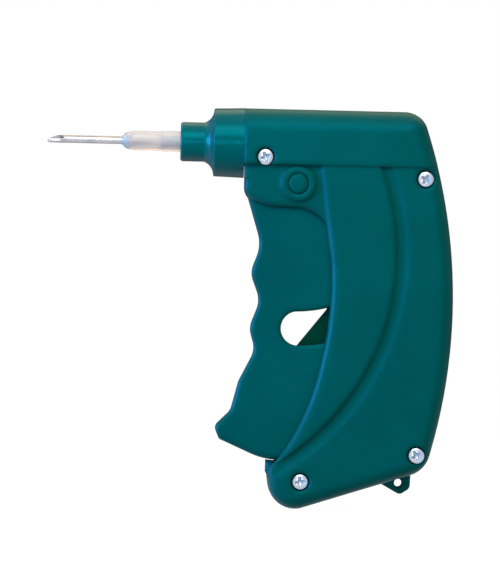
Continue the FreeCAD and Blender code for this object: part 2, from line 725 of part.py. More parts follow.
def trigger_hollow():
    # The channel between the two side walls, open to the back and over the pivot.
    inner = TRIGGER_HALF - TRIGGER_SIDE
    channel = plate(trigger_outline().makeOffset2D(-TRIGGER_FRONT), -inner, inner)
    start = TRIGGER_PIVOT[0] - TRIGGER_HUB_R + 1
    floor = TRIGGER_SOLE[1][1] + TRIGGER_FRONT
    sole_end = TRIGGER_SOLE[1][0] - SOLE_LIP
    rear = 2 * TRIGGER_BACK[0][0]
    opening = rounded([
        (start, CHANNEL_TOP, 0), (rear, CHANNEL_TOP, 0), (rear, floor, 0), (sole_end, floor, 0),
        (start, LEVER_Z, 0),
    ])
    return channel.fuse(plate(opening, -inner, inner))


def arc_slot(start_angle, end_angle):
    # A slot on an arc about the trigger's pivot, with a round front end.
    pivot = at(*TRIGGER_PIVOT)
    rays = [lean(angle - 90) for angle in (start_angle, (start_angle + end_angle) / 2, end_angle)]
    inner = [pivot + ray * (SLOT_R - SLOT_HALF) for ray in rays]
    outer = [pivot + ray * (SLOT_R + SLOT_HALF) for ray in rays]
    nose = pivot + rays[0] * SLOT_R + lean(start_angle - 180) * SLOT_HALF
    edges = [
        Part.Arc(*inner).toShape(), Part.LineSegment(inner[2], outer[2]).toShape(),
        Part.Arc(outer[2], outer[1], outer[0]).toShape(), Part.Arc(outer[0], nose, inner[0]).toShape(),
    ]
    return Part.Wire(edges)


def nose_place(share):
    # Where the lever's nose lies in the trigger at a share of the stroke.
    lever = at(LEVER_U, LEVER_Z)
    nose = lever + lean(LEVER_NOSE_ANGLE + LEVER_SWING * share) * LEVER_NOSE_REACH
    return swung(nose, at(*TRIGGER_PIVOT), -TRIGGER_SWING * share)


def cam_point(share, offset):
    # A point of the face that the nose follows, a set distance from the path of its centre.
    step = 0.01
    path = (nose_place(share + step) - nose_place(share - step)).normalize()
    return nose_place(share) + V(path.z, 0, -path.x) * offset


def trigger_cams():
    # A raised track inside each side wall, cut to the path of the pin in the lever's nose.
    near = NOSE_PIN_R + CAM_GAP
    face = [cam_point(share, near) for share in (-0.25, 0.5, 1.25)]
    front = V(-LEVER_NOSE_REACH, 0, 0)
    edges = [
        Part.Arc(*face).toShape(), Part.LineSegment(face[2], face[2] + front).toShape(),
        Part.LineSegment(face[2] + front, face[0] + front).toShape(),
        Part.LineSegment(face[0] + front, face[0]).toShape(),
    ]
    wire = Part.Wire(edges)
    inner = TRIGGER_HALF - TRIGGER_SIDE
    outer_lever = LEVER_HALF + CAM_SIDE_GAP
    return [plate(wire, outer_lever, inner), plate(wire, -inner, -outer_lever)]


def trigger():
    slab = plate(trigger_outline(), -TRIGGER_HALF, TRIGGER_HALF)

    def finger_side(point):
        away = (point - at(*TRIGGER_PIVOT, point.y)).Length > 2 * TRIGGER_HUB_R
        return away and point.x - X_BODY < TRIGGER_SOLE[0][0]

    rim = rim_edges(slab, TRIGGER_HALF, finger_side) + rim_edges(slab, -TRIGGER_HALF, finger_side)
    block = slab.makeFillet(TRIGGER_ROUND, [edge for i, edge in rim])
    block = block.cut(trigger_hollow())
    block = block.fuse([track.common(slab) for track in trigger_cams()])
    block = block.cut(plate(arc_slot(SLOT_START, SLOT_OPEN), -TRIGGER_HALF - 1, TRIGGER_HALF + 1))

    def window_rim(point):
        ray = point - at(*TRIGGER_PIVOT, point.y)
        return abs(ray.Length - SLOT_R) < SLOT_HALF + 0.1 and point.x < at(*CHEEK_HIGH[:2]).x

    rim = rim_edges(block, TRIGGER_HALF, window_rim) + rim_edges(block, -TRIGGER_HALF, window_rim)
    block = block.makeFillet(WINDOW_ROUND, [edge for i, edge in rim])
    inner = TRIGGER_HALF - TRIGGER_SIDE
    trunnion = bar(*TRIGGER_PIVOT, TRUNNION_R, inner, TRUNNION_END)
    trunnion = trunnion.makeChamfer(TRUNNION_EDGE, end_rim(trunnion))
    block = block.fuse([trunnion, trunnion.mirror(V(0, 0, 0), V(0, 1, 0))])
    return block.removeSplitter()


# Lever

def arm_outline(start, start_r, end, end_r):
    # Two circles joined by their outer tangents.
    along = (end - start).normalize()
    side = V(-along.z, 0, along.x)
    length = (end - start).Length
    tilt = math.asin((start_r - end_r) / length)
    up = side * math.cos(tilt) + along * math.sin(tilt)
    down = side * -math.cos(tilt) + along * math.sin(tilt)
    edges = [
        Part.LineSegment(start + up * start_r, end + up * end_r).toShape(),
        Part.Arc(end + up * end_r, end + along * end_r, end + down * end_r).toShape(),
        Part.LineSegment(end + down * end_r, start + down * start_r).toShape(),
        Part.Arc(start + down * start_r, start - along * start_r, start + up * start_r).toShape(),
    ]
    return Part.Wire(edges)


def drive_lever():
    # A bell crank, thick at the hub and nose and thin at the top. The upper arm has an I section.
    hub = at(LEVER_U, LEVER_Z)
    nose = hub + lean(LEVER_NOSE_ANGLE) * LEVER_NOSE_REACH
    top = at(PIN_U, PIN_Z)
    lower = plate(arm_outline(hub, LEVER_HUB_R, nose, LEVER_NOSE_R), -LEVER_HALF, LEVER_HALF)
    upper = plate(arm_outline(hub, LEVER_HUB_R, top, LEVER_TOP_R), -LEVER_TOP_HALF, LEVER_TOP_HALF)
    body = lower.fuse([upper, bar(LEVER_U, LEVER_Z, LEVER_HUB_R, -LEVER_HUB_HALF, LEVER_HUB_HALF)])
    along = (top - hub).normalize()
    length = (top - hub).Length
    near = LEVER_HUB_R + LEVER_RIM
    far = length - LEVER_TOP_R - LEVER_RIM
    taper = (LEVER_HUB_R - LEVER_TOP_R) / length
    near_r = LEVER_HUB_R - taper * near - LEVER_RIM
    far_r = LEVER_HUB_R - taper * far - LEVER_RIM
    pocket = arm_outline(hub + along * (near + near_r), near_r, hub + along * far, far_r)
    pocket = plate(pocket, LEVER_WEB_HALF, LEVER_HALF)
    body = body.cut([pocket, pocket.mirror(V(0, 0, 0), V(0, 1, 0))])
    body = body.cut(bar(LEVER_U, LEVER_Z, LEVER_BUSH_R + SEAT_FIT, -BARREL_HALF, BARREL_HALF))
    body = body.cut(bar(NOSE_U, NOSE_Z, NOSE_PIN_R + SEAT_FIT, -BARREL_HALF, BARREL_HALF))
    return body.cut(bar(PIN_U, PIN_Z, DRIVE_PIN_R + SEAT_FIT, -BARREL_HALF, BARREL_HALF))


def lever_bush():
    sleeve = bar(LEVER_U, LEVER_Z, LEVER_BUSH_R, -LEVER_HUB_HALF, LEVER_HUB_HALF)
    return sleeve.cut(bar(LEVER_U, LEVER_Z, LEVER_PIN_R + PIVOT_FIT, -BARREL_HALF, BARREL_HALF))


def lever_pivot_pin():
    return bar(LEVER_U, LEVER_Z, LEVER_PIN_R, -LEVER_PIN_HALF, LEVER_PIN_HALF)


def nose_pin():
    return bar(NOSE_U, NOSE_Z, NOSE_PIN_R, -NOSE_PIN_HALF, NOSE_PIN_HALF)


def drive_pin():
    return bar(PIN_U, PIN_Z, DRIVE_PIN_R, -DRIVE_PIN_HALF, DRIVE_PIN_HALF)


# Carriage, rod and spring

def rod_carriage():
    # A fork that slides on rails and takes the drive pin in two upright slots.
    front = PIN_U - CARRIAGE_FRONT
    rear = PIN_U + CARRIAGE_REAR
    front_r, rear_r = CARRIAGE_CORNERS
    outline = rounded([
        (front, CARRIAGE_TOP, front_r), (rear, CARRIAGE_TOP, rear_r),
        (rear, -CARRIAGE_BOTTOM, rear_r), (front, -CARRIAGE_BOTTOM, front_r),
    ])
    block = plate(outline, -CARRIAGE_HALF, CARRIAGE_HALF)
    wings = box(WING_FRONT, WING_REAR, -WING_HALF, WING_HALF, -WING_HEIGHT, WING_HEIGHT)
    spigot = SPRING_MEAN_R - SPRING_WIRE_HALF - SPRING_INSIDE_GAP
    boss = rod(X_BODY + front - WASHER_LENGTH - SPIGOT_LENGTH, X_BODY + front + 1, spigot)
    block = block.fuse([wings, boss])
    mouth = front + CARRIAGE_FRONT_WALL
    inner = CARRIAGE_HALF - CARRIAGE_CHEEK
    block = block.cut(box(mouth, rear + 1, -inner, inner, -2 * CARRIAGE_BOTTOM, 2 * CARRIAGE_TOP))
    slot_half = DRIVE_PIN_R + PIN_SLOT_PLAY
    low = PIN_Z - slot_half
    high = LEVER_PIN_RISE + slot_half
    corner_r = slot_half * 0.98
    slot = rounded([
        (PIN_U - slot_half, high, corner_r), (PIN_U + slot_half, high, corner_r),
        (PIN_U + slot_half, low, corner_r), (PIN_U - slot_half, low, corner_r),
    ])
    block = block.cut(plate(slot, -WING_HALF - 1, WING_HALF + 1))
    block = block.cut(rod(X_BODY + front - CARRIAGE_FRONT, X_BODY + rear, ROD_R + SEAT_FIT))
    screw_at = front + CARRIAGE_FRONT_WALL / 2
    return block.cut(
        Part.makeCylinder(SET_SCREW_R + SEAT_FIT, 2 * CARRIAGE_TOP, at(screw_at, ROD_R), V(0, 0, 1))
    ).removeSplitter()


def rod_set_screw():
    screw_at = PIN_U - CARRIAGE_FRONT + CARRIAGE_FRONT_WALL / 2
    low = ROD_R + SEAT_FIT
    top = CARRIAGE_TOP - SET_SCREW_SUNK
    screw = Part.makeCylinder(SET_SCREW_R, top - low, at(screw_at, low), V(0, 0, 1))
    key_foot = at(screw_at, top - SET_SCREW_KEY)
    key = Part.makeCylinder(SET_SCREW_R / 2, SET_SCREW_KEY, key_foot, V(0, 0, 1))
    return screw.cut(key)


def push_rod():
    tip = X_SEAT - LUER_CONE
    end = X_BODY + PIN_U - CARRIAGE_FRONT + CARRIAGE_FRONT_WALL
    body = rod(tip, end, ROD_R)
    face = [e for e in body.Edges if abs(e.BoundBox.XMax - tip) < 1e-6]
    return body.makeChamfer(ROD_EDGE, face)


def spring_washer():
    end = X_BODY + PIN_U - CARRIAGE_FRONT
    start = end - WASHER_LENGTH
    inner = SPRING_MEAN_R - SPRING_WIRE_HALF - SPRING_INSIDE_GAP / 2
    outer = inner + WASHER_RIM
    return turned([(start, inner), (start, outer), (end, outer), (end, inner)])


def return_spring():
    # A compression spring of square wire from the guide bush to the carriage's washer.
    start = X_SPRING + SPRING_WIRE_HALF + SPRING_END_GAP
    end = X_BODY + PIN_U - CARRIAGE_FRONT - WASHER_LENGTH - SPRING_WIRE_HALF - SPRING_END_GAP
    pitch = (end - start) / SPRING_COILS
    helix = Part.makeHelix(pitch, end - start, SPRING_MEAN_R)
    corners = [
        V(SPRING_MEAN_R + SPRING_WIRE_HALF * i, 0, SPRING_WIRE_HALF * j)
        for i, j in ((-1, -1), (1, -1), (1, 1), (-1, 1))
    ]
    section = Part.makePolygon(corners + corners[:1])
    spring = Part.Wire(helix).makePipeShell([section], True, True)
    spring.rotate(V(0, 0, 0), V(0, 1, 0), 90)
    spring.translate(V(start, 0, 0))
    return spring


def main():
    half = shell()
    save("left_shell", [left_shell(half)])
    save("right_shell", [right_shell(half)])
    save("shell_screws", shell_screws())
    save("shell_dowels", shell_dowels())
    save("rear_bumper", [rear_bumper()])
    save("nosepiece", [nosepiece()])
    save("luer_tip", [luer_tip()])
    save("rod_guide_bush", [rod_guide_bush()])
    save("lever_pivot_pin", [lever_pivot_pin()])
    save("trigger", [trigger()])
    save("drive_lever", [drive_lever()])
    save("lever_bush", [lever_bush()])
    save("drive_pin", [drive_pin()])
    save("nose_pin", [nose_pin()])
    save("rod_carriage", [rod_carriage()])
    save("rod_set_screw", [rod_set_screw()])
    save("push_rod", [push_rod()])
    save("spring_washer", [spring_washer()])
    save("return_spring", [return_spring()])
    save("needle_hub", [needle_hub()])
    save("needle_cannula", [needle_cannula()])
    save("needle_adhesive", [needle_adhesive()])


main()
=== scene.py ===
import math

import bpy
import numpy as np
from mathutils import Matrix, Vector


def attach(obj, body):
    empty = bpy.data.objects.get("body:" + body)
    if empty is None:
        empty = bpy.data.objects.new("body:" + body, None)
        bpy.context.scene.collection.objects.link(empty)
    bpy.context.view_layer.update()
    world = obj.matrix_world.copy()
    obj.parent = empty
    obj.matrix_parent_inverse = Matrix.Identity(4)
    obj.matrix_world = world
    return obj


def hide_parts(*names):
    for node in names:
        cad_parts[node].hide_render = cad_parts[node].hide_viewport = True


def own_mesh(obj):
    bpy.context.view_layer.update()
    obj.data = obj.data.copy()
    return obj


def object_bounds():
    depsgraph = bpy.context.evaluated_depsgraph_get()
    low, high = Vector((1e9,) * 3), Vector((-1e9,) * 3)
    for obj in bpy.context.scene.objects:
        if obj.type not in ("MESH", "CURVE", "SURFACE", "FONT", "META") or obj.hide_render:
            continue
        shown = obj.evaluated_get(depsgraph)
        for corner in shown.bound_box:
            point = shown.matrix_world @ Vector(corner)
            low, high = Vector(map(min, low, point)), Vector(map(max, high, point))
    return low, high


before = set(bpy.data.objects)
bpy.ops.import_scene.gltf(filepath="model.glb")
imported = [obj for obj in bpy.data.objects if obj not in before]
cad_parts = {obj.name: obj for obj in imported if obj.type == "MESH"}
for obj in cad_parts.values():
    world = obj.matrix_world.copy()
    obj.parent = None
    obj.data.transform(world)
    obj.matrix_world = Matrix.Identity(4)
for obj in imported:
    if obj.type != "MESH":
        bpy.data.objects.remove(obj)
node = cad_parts
cad_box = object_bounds()

# Handle shells
# Two halves moulded in a dark green plastic, screwed together on the middle plane. The mould is
# finely etched, so the skin is satin, and handling has polished and paled the sharp edges. A bluish
# highlight is painted over those edges as well.

SHELL_GREEN = (0.000, 0.086, 0.075)
SHELL_DEEP = (0.000, 0.072, 0.062)
BLUE_GLOSS = (0.00, 0.60, 1.00)  # tints of what the plastics mirror
GREEN_GLOSS = (0.00, 0.75, 1.00)
PLASTIC_IOR = 1.5
SOFT_EDGE = 0.0028  # how far the light over an edge blends into the faces beside it
EDGE_WEAR_AND_HIGHLIGHT_REACH = 0.0005  # reach of the worn paling and of the painted edge highlight from a sharp edge
# Worn edges are paled, and the same tint paints a bluish highlight on them.
EDGE_WEAR_AND_HIGHLIGHT_TINT = (0.001, 0.045, 0.060, 1)
RUBBED_TINT = (0.001, 0.004, 0.004, 1)
CLOUDS = 38.0  # clouds of the colour, and of the gloss, for each metre
GLOSS_CLOUDS = 420.0
RUBS = (90.0, 90.0, 900.0)  # rubbed streaks along X and Y
SEAM_COLOUR = (0.0, 0.012, 0.014, 1)
SEAM_SHARE = 0.75
SEAM_CORE, SEAM_EDGE = 0.00004, 0.00016  # from the middle plane


def feed(tree, made, **inputs):
    """Gives a node its inputs.

    An input is named by its socket, or by i and the socket's number, and is a plain value or
    another node's socket.
    """
    for key, value in inputs.items():
        numbered = key[0] == "i" and key[1:].isdigit()
        socket = made.inputs[int(key[1:]) if numbered else key.replace("_", " ")]
        if isinstance(value, bpy.types.NodeSocket):
            tree.links.new(value, socket)
        else:
            socket.default_value = value


def add(tree, kind, settings=(), **inputs):
    """Adds a shader node with its settings and inputs."""
    made = tree.nodes.new(kind)
    for key, value in dict(settings).items():
        setattr(made, key, value)
    feed(tree, made, **inputs)
    return made


def reckon(tree, operation, *values):
    """The result of one calculation on plain values or sockets."""
    inputs = {f"i{number}": value for number, value in enumerate(values)}
    return add(tree, "ShaderNodeMath", {"operation": operation}, **inputs).outputs[0]


def spread(tree, value, low, high, to_low=0.0, to_high=1.0):
    """A value mapped smoothly from one range to another."""
    made = add(
        tree, "ShaderNodeMapRange", {"interpolation_type": "SMOOTHSTEP"},
        Value=value, From_Min=low, From_Max=high, To_Min=to_low, To_Max=to_high,
    )
    return made.outputs["Result"]


def blend(tree, share, first, second, way="MIX"):
    """Two colours mixed by a share, or the second added to the first."""
    made = add(
        tree, "ShaderNodeMix", {"data_type": "RGBA", "blend_type": way},
        i0=share, i6=first, i7=second,
    )
    return made.outputs[2]


def noise(tree, at, scale, detail=2.0, roughness=0.5):
    """A cloudy pattern of about 1/scale metres across, centred on a half."""
    made = add(
        tree, "ShaderNodeTexNoise", Vector=at, Scale=scale, Detail=detail, Roughness=roughness
    )
    return made.outputs["Fac"]


def object_place(tree):
    """The place in the object's own coordinates."""
    return add(tree, "ShaderNodeTexCoord").outputs["Object"]


def stretched(tree, at, scales):
    """Coordinates scaled along each axis. A pattern on them runs along the least scaled one."""
    return add(tree, "ShaderNodeMapping", Vector=at, Scale=scales).outputs["Vector"]


def along_y(tree, vector):
    """How far a vector goes along Y, which runs from the camera's side to the far side."""
    return add(tree, "ShaderNodeSeparateXYZ", Vector=vector).outputs["Y"]


def new_group(name, inputs, outputs):
    """A shader node group with its sockets, each a name, a kind and an input's usual value."""
    tree = bpy.data.node_groups.new(name, "ShaderNodeTree")
    for title, kind, usual in inputs:
        socket = tree.interface.new_socket(title, in_out="INPUT", socket_type=kind)
        socket.default_value = usual
    for title, kind in outputs:
        tree.interface.new_socket(title, in_out="OUTPUT", socket_type=kind)
    start = tree.nodes.new("NodeGroupInput").outputs
    end = tree.nodes.new("NodeGroupOutput").inputs
    return tree, start, end


def new_material(name):
    """A material of nodes, with its tree and its shader."""
    made = bpy.data.materials.new(name)
    made.use_nodes = True
    return made, made.node_tree, made.node_tree.nodes["Principled BSDF"]


def moulded_skin():
    """Moulded plastic: cloudy colour, faint rubbed streaks, an etched grain and paler corners.

    The corners are worn pale and carry a painted bluish highlight. The corner mask is one minus the
    dot product of the normal and the normal averaged over a small radius, which only differs from
    it close to a sharp edge.
    """
    tree, given, out = new_group(
        "moulded_skin",
        [
            ("Colour", "NodeSocketColor", (0, 0, 0, 1)),
            ("Deep Colour", "NodeSocketColor", (0, 0, 0, 1)),
            ("Roughness", "NodeSocketFloat", 0.35),
            ("Grain Size", "NodeSocketFloat", 0.0003),
            ("Wear", "NodeSocketFloat", 0.3),
        ],
        [
            ("Colour", "NodeSocketColor"),
            ("Roughness", "NodeSocketFloat"),
            ("Height", "NodeSocketFloat"),
        ],
    )
    at = object_place(tree)
    clouds = spread(tree, noise(tree, at, CLOUDS, 3.0), 0.30, 0.72)
    base = blend(tree, clouds, given["Deep Colour"], given["Colour"])
    rubbed = spread(tree, noise(tree, stretched(tree, at, RUBS), 1.0, 4.0, 0.6), 0.58, 0.82)
    normal = add(tree, "ShaderNodeNewGeometry").outputs["Normal"]
    rounded = add(tree, "ShaderNodeBevel", {"samples": 4}, Radius=EDGE_WEAR_AND_HIGHLIGHT_REACH).outputs["Normal"]
    same = add(
        tree, "ShaderNodeVectorMath", {"operation": "DOT_PRODUCT"}, i0=normal, i1=rounded
    ).outputs["Value"]
    # Near a sharp edge the tint adds worn paling and a painted bluish edge highlight.
    worn_and_highlit = reckon(tree, "MULTIPLY", spread(tree, same, 0.97, 0.80), given["Wear"])
    paler_and_highlit = blend(tree, worn_and_highlit, base, EDGE_WEAR_AND_HIGHLIGHT_TINT, "ADD")
    tree.links.new(blend(tree, rubbed, paler_and_highlit, RUBBED_TINT, "ADD"), out["Colour"])
    uneven = spread(tree, noise(tree, at, GLOSS_CLOUDS, 3.0), 0.25, 0.75, -0.035, 0.035)
    rough = reckon(tree, "ADD", given["Roughness"], uneven)
    polished = reckon(tree, "MULTIPLY_ADD", rubbed, -0.05, rough)
    tree.links.new(polished, out["Roughness"])
    fineness = reckon(tree, "DIVIDE", 1.0, given["Grain Size"])
    tree.links.new(noise(tree, at, fineness, 2.0, 0.55), out["Height"])
    return tree


SKIN = moulded_skin()


def moulded(
    name, colour, deep, roughness, grain_size, grain_depth, wear,
    seam=False, specular=0.5, gloss=(1, 1, 1), soft=0.0,
):
    """A plastic with the moulded skin. With a seam, a fine dark line marks the parting plane.

    Soft is how far the light over an edge blends into its faces, as on worn and polished mouldings.
    """
    made, tree, shader = new_material(name)
    skin = add(
        tree, "ShaderNodeGroup", {"node_tree": SKIN}, Colour=(*colour, 1), Deep_Colour=(*deep, 1),
        Roughness=roughness, Grain_Size=grain_size, Wear=wear,
    ).outputs
    finish = skin["Colour"]
    if seam:
        across = reckon(tree, "ABSOLUTE", along_y(tree, object_place(tree)))
        near = spread(tree, across, SEAM_CORE, SEAM_EDGE, SEAM_SHARE, 0.0)
        finish = blend(tree, near, finish, SEAM_COLOUR)
    bump = add(
        tree, "ShaderNodeBump", Strength=0.35, Distance=grain_depth, Height=skin["Height"]
    )
    if soft:
        softened = add(tree, "ShaderNodeBevel", {"samples": 8}, Radius=soft)
        feed(tree, bump, Normal=softened.outputs["Normal"])
    feed(
        tree, shader, Base_Color=finish, Roughness=skin["Roughness"], Normal=bump.outputs["Normal"],
        IOR=PLASTIC_IOR, Specular_IOR_Level=specular, Specular_Tint=(*gloss, 1),
    )
    return made


def dress(name, material):
    """A CAD node keeps its mesh and takes a material."""
    node[name].data.materials.clear()
    node[name].data.materials.append(material)


shell_plastic = moulded(
    "shell_green", SHELL_GREEN, SHELL_DEEP, roughness=0.42, grain_size=0.00035,
    grain_depth=0.00002, wear=0.35, seam=True, specular=0.34, gloss=BLUE_GLOSS, soft=SOFT_EDGE,
)
dress("left_shell", shell_plastic)
dress("right_shell", shell_plastic)

# Nosepiece
# A stepped nose moulded in the same green plastic but glossier, with a cove between its two
# barrels. Its flange is held in the front wall of the shells. Its colour is painted lighter than
# the shells', for the light that it catches.

NOSE_LIT_GREEN = (0.000, 0.100, 0.098)
NOSE_LIT_DEEP = (0.000, 0.086, 0.084)
nose_plastic = moulded(
    "nose_green_lit", NOSE_LIT_GREEN, NOSE_LIT_DEEP, roughness=0.26, grain_size=0.0006,
    grain_depth=0.00001, wear=0.35, specular=0.38, gloss=GREEN_GLOSS,
)
dress("nosepiece", nose_plastic)

# Trigger
# A channel moulded in the same plastic. Its colour is painted a shade darker, for the shade it
# sits in between the shells. Fingers have polished the grooves.

TRIGGER_SHADED_GREEN = (0.000, 0.083, 0.073)
TRIGGER_SHADED_DEEP = (0.000, 0.068, 0.060)
trigger_plastic = moulded(
    "trigger_green_shaded", TRIGGER_SHADED_GREEN, TRIGGER_SHADED_DEEP, roughness=0.40, grain_size=0.00035,
    grain_depth=0.00002, wear=0.40, specular=0.34, gloss=BLUE_GLOSS, soft=SOFT_EDGE,
)
dress("trigger", trigger_plastic)

# Drive lever
# A glass-filled bell crank in a blackish green, duller than the shells, with a bronze bush.

LEVER_GREEN = (0.001, 0.027, 0.006)
LEVER_DEEP = (0.001, 0.021, 0.004)
lever_plastic = moulded(
    "lever_dark_green", LEVER_GREEN, LEVER_DEEP, roughness=0.50, grain_size=0.0005,
    grain_depth=0.00004, wear=0.20, specular=0.26, gloss=GREEN_GLOSS,
)
dress("drive_lever", lever_plastic)

# Carriage and guide bush
# Low-friction natural white plastic, slightly waxy, with a fine grain.

SLIDE_WHITE = (0.680, 0.655, 0.600)
SLIDE_DEEP = (0.610, 0.585, 0.530)
slide_plastic = moulded(
    "slide_natural_white", SLIDE_WHITE, SLIDE_DEEP, roughness=0.42, grain_size=0.0004,
    grain_depth=0.00002, wear=0.0,
)
dress("rod_carriage", slide_plastic)
dress("rod_guide_bush", slide_plastic)

# Rear bumper
# A black rubber pad cut from sheet, dull and faintly dusty.

RUBBER_BLACK = (0.020, 0.020, 0.022)
RUBBER_DEEP = (0.013, 0.013, 0.014)
rubber = moulded(
    "bumper_black_rubber", RUBBER_BLACK, RUBBER_DEEP, roughness=0.78, grain_size=0.00025,
    grain_depth=0.00005, wear=0.1, specular=0.3,
)
dress("rear_bumper", rubber)

# Pins, rod, washer and cone
# Drawn and ground steel, a bronze bush and a plated cone. Drawing leaves fine lines along the rod,
# and the pins are ground round.

PIN_GREY, PIN_STAIN = (0.56, 0.57, 0.58), (0.42, 0.42, 0.41)
ROD_GREY, ROD_STAIN = (0.60, 0.61, 0.63), (0.48, 0.49, 0.50)
BRONZE, BRONZE_STAIN = (0.62, 0.42, 0.20), (0.45, 0.29, 0.13)
CONE_BLUE, CONE_STAIN = (0.12, 0.21, 0.35), (0.08, 0.16, 0.29)
STAINS = 160.0  # blotches for each metre


def drawn_lines():
    """Fine lines along one axis: noise on coordinates hardly scaled along it."""
    tree, given, out = new_group(
        "drawn_lines",
        [
            ("Stretch", "NodeSocketVector", (40.0, 4000.0, 4000.0)),
            ("Roughness", "NodeSocketFloat", 0.3),
            ("Colour", "NodeSocketColor", (0.6, 0.6, 0.6, 1)),
            ("Stain", "NodeSocketColor", (0.4, 0.4, 0.4, 1)),
        ],
        [
            ("Colour", "NodeSocketColor"),
            ("Roughness", "NodeSocketFloat"),
            ("Height", "NodeSocketFloat"),
        ],
    )
    at = object_place(tree)
    line_at = add(
        tree, "ShaderNodeVectorMath", {"operation": "MULTIPLY"}, i0=at, i1=given["Stretch"]
    ).outputs[0]
    lines = noise(tree, line_at, 1.0, 3.0, 0.6)
    blotch = spread(tree, noise(tree, at, STAINS, 3.0), 0.45, 0.75)
    tree.links.new(blend(tree, blotch, given["Colour"], given["Stain"]), out["Colour"])
    swing = spread(tree, lines, 0.3, 0.7, -0.07, 0.07)
    tree.links.new(reckon(tree, "ADD", given["Roughness"], swing), out["Roughness"])
    tree.links.new(lines, out["Height"])
    return tree


LINES = drawn_lines()


def metal(name, colour, stain, roughness, stretch, depth=0.000004):
    """A bare metal with drawn or ground lines, which run along its least stretched axis."""
    made, tree, shader = new_material(name)
    surface = add(
        tree, "ShaderNodeGroup", {"node_tree": LINES}, Colour=(*colour, 1), Stain=(*stain, 1),
        Roughness=roughness, Stretch=stretch,
    ).outputs
    bump = add(tree, "ShaderNodeBump", Strength=0.3, Distance=depth, Height=surface["Height"])
    feed(
        tree, shader, Base_Color=surface["Colour"], Roughness=surface["Roughness"],
        Normal=bump.outputs["Normal"], Metallic=1.0,
    )
    return made


pin_steel = metal(
    "pin_ground_steel", PIN_GREY, PIN_STAIN, roughness=0.28, stretch=(3000.0, 60.0, 3000.0)
)
PINS = (
    "shell_dowels", "lever_pivot_pin", "drive_pin", "nose_pin", "rod_set_screw", "spring_washer",
)
for name in PINS:
    dress(name, pin_steel)
rod_steel = metal(
    "rod_drawn_steel", ROD_GREY, ROD_STAIN, roughness=0.22, stretch=(40.0, 5000.0, 5000.0)
)
dress("push_rod", rod_steel)
bronze = metal(
    "bush_bronze", BRONZE, BRONZE_STAIN, roughness=0.38, stretch=(3000.0, 200.0, 3000.0)
)
dress("lever_bush", bronze)
luer_metal = metal(
    "luer_plated_brass", CONE_BLUE, CONE_STAIN, roughness=0.26, stretch=(4000.0, 300.0, 300.0)
)
dress("luer_tip", luer_metal)

# Screws
# Four zinc plated pan-head screws for plastic. A head is a shallow dome with a cross recess pressed
# in it, and the shank carries a coarse single thread. They stand a little below the flank.

HEAD_R = 0.00295
HEAD_HIGH = 0.0014
CROWN_FALL = 0.00050
CROSS_REACH = 0.00180
CROSS_HALF = 0.00050
CROSS_DEEP = 0.0011
SHANK_R = 0.00145
SCREW_LENGTH = 0.018
THREAD_PITCH = 0.0011
THREAD_DEEP = 0.00028
THREAD_START = (0.0008, 0.002)  # from the seat to where the thread has its full depth
POINT_LENGTH = 0.0035
HEAD_EDGE = np.array([  # radius and height of the rings from the dome's edge down to the shank
    (HEAD_R - 0.00003, -0.00084), (HEAD_R, -0.00070), (HEAD_R, -0.00008),
    (HEAD_R - 0.00006, 0.0), (0.0016, 0.0), (SHANK_R, 0.00004),
])
CROSS_RINGS = np.linspace(0.00008, 0.0020, 30)
DOME_RINGS = np.linspace(0.0021, HEAD_R - 0.0001, 6)
SHANK_RINGS = np.linspace(0.0003, SCREW_LENGTH, 110)
AROUND = 96
ZINC_COLD, ZINC_WARM = (0.40, 0.52, 0.62, 1), (0.54, 0.48, 0.56, 1)
# Dark blue painted shade for the cross recess, and how far ambient occlusion looks for the recess.
CROSS_PAINTED_SHADE = (0.03, 0.17, 0.31, 1)
CROSS_SHADE_REACH = 0.0009
SCREWS = [  # place behind the needle's heel, height, seat across the tool and the cross's turn
    (0.0726785, -0.0052, -0.0114, 0.35), (0.1304785, -0.0120, -0.0108, 1.05),
    (0.0877785, -0.1218, -0.0108, 0.15), (0.1292785, -0.1114, -0.0108, 0.55),
]


def eased(values, low, high):
    """Smooth step from 0 at low to 1 at high."""
    t = np.clip((values - low) / (high - low), 0.0, 1.0)
    return t * t * (3 - 2 * t)


def revolved_faces(rings, steps):
    """Faces of a closed tube of vertex rings. A centre point comes before and after the rings."""
    ring = np.arange(rings * steps).reshape(rings, steps) + 1
    ahead = np.roll(ring, -1, axis=1)
    sides = np.stack([ring[:-1], ring[1:], ahead[1:], ahead[:-1]], axis=-1).reshape(-1, 4)
    last = rings * steps + 1
    front = np.stack([np.zeros(steps, int), ring[0], ahead[0]], axis=-1)
    back = np.stack([np.full(steps, last), ahead[-1], ring[-1]], axis=-1)
    return [tuple(face) for part in (front, sides, back) for face in part.tolist()]


